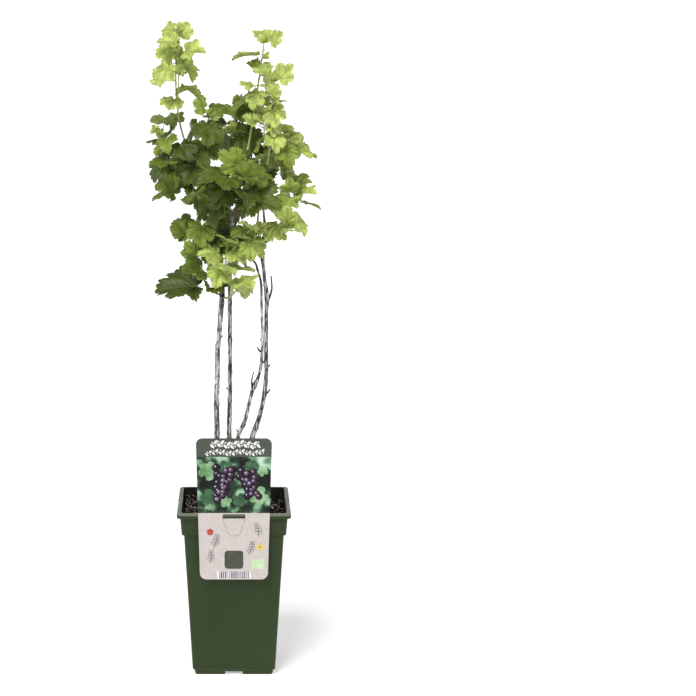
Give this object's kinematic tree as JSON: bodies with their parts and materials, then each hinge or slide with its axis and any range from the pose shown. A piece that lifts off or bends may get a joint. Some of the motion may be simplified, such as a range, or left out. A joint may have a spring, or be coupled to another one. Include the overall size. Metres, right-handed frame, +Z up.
{
  "type": "potted jostaberry",
  "caption": "Young jostaberry bush with woody stems and lobed leaves, growing in a deep square plastic nursery pot with a plant card on its rim.",
  "frame": {"origin": "centre of the flat underside of the pot, on the surface it stands on", "axes": "+Z up along the plant's height; the plant card hangs on the -Y side; +X to the right seen from the front"},
  "size_m": [0.2132, 0.185, 0.8044],
  "materials": {
    "pot_plastic": "satin moulded dark olive green",
    "soil": "rough moist peat",
    "card": "printed card, semi-gloss",
    "bark": "grey bark with dark fissures",
    "foliage": "soft leaves, satin upper side"
  },
  "bodies": {
    "root": {"pot": "pot_plastic", "soil": "soil", "plant_card": "card", "stem_left": "bark", "stem_middle": "bark", "stem_inner": "bark", "stem_outer": "bark", "bough_left": "bark", "bough_centre": "bark", "bough_leader": "bark", "bough_right": "bark", "bough_low_right": "bark", "bough_low_back": "bark", "spur_outer": "bark", "spur_inner": "bark", "left_leader": "foliage", "left_cluster": "foliage", "left_inner": "foliage", "left_low": "foliage", "centre_low_left": "foliage", "centre_dark": "foliage", "centre_front": "foliage", "low_rosette": "foliage", "low_left": "foliage", "low_right": "foliage", "right_leader": "foliage", "right_light": "foliage", "right_dark": "foliage", "right_low": "foliage", "right_under": "foliage", "inner_cluster": "foliage", "back_left": "foliage", "back_right": "foliage", "back_low": "foliage"}
  },
  "joints": []
}
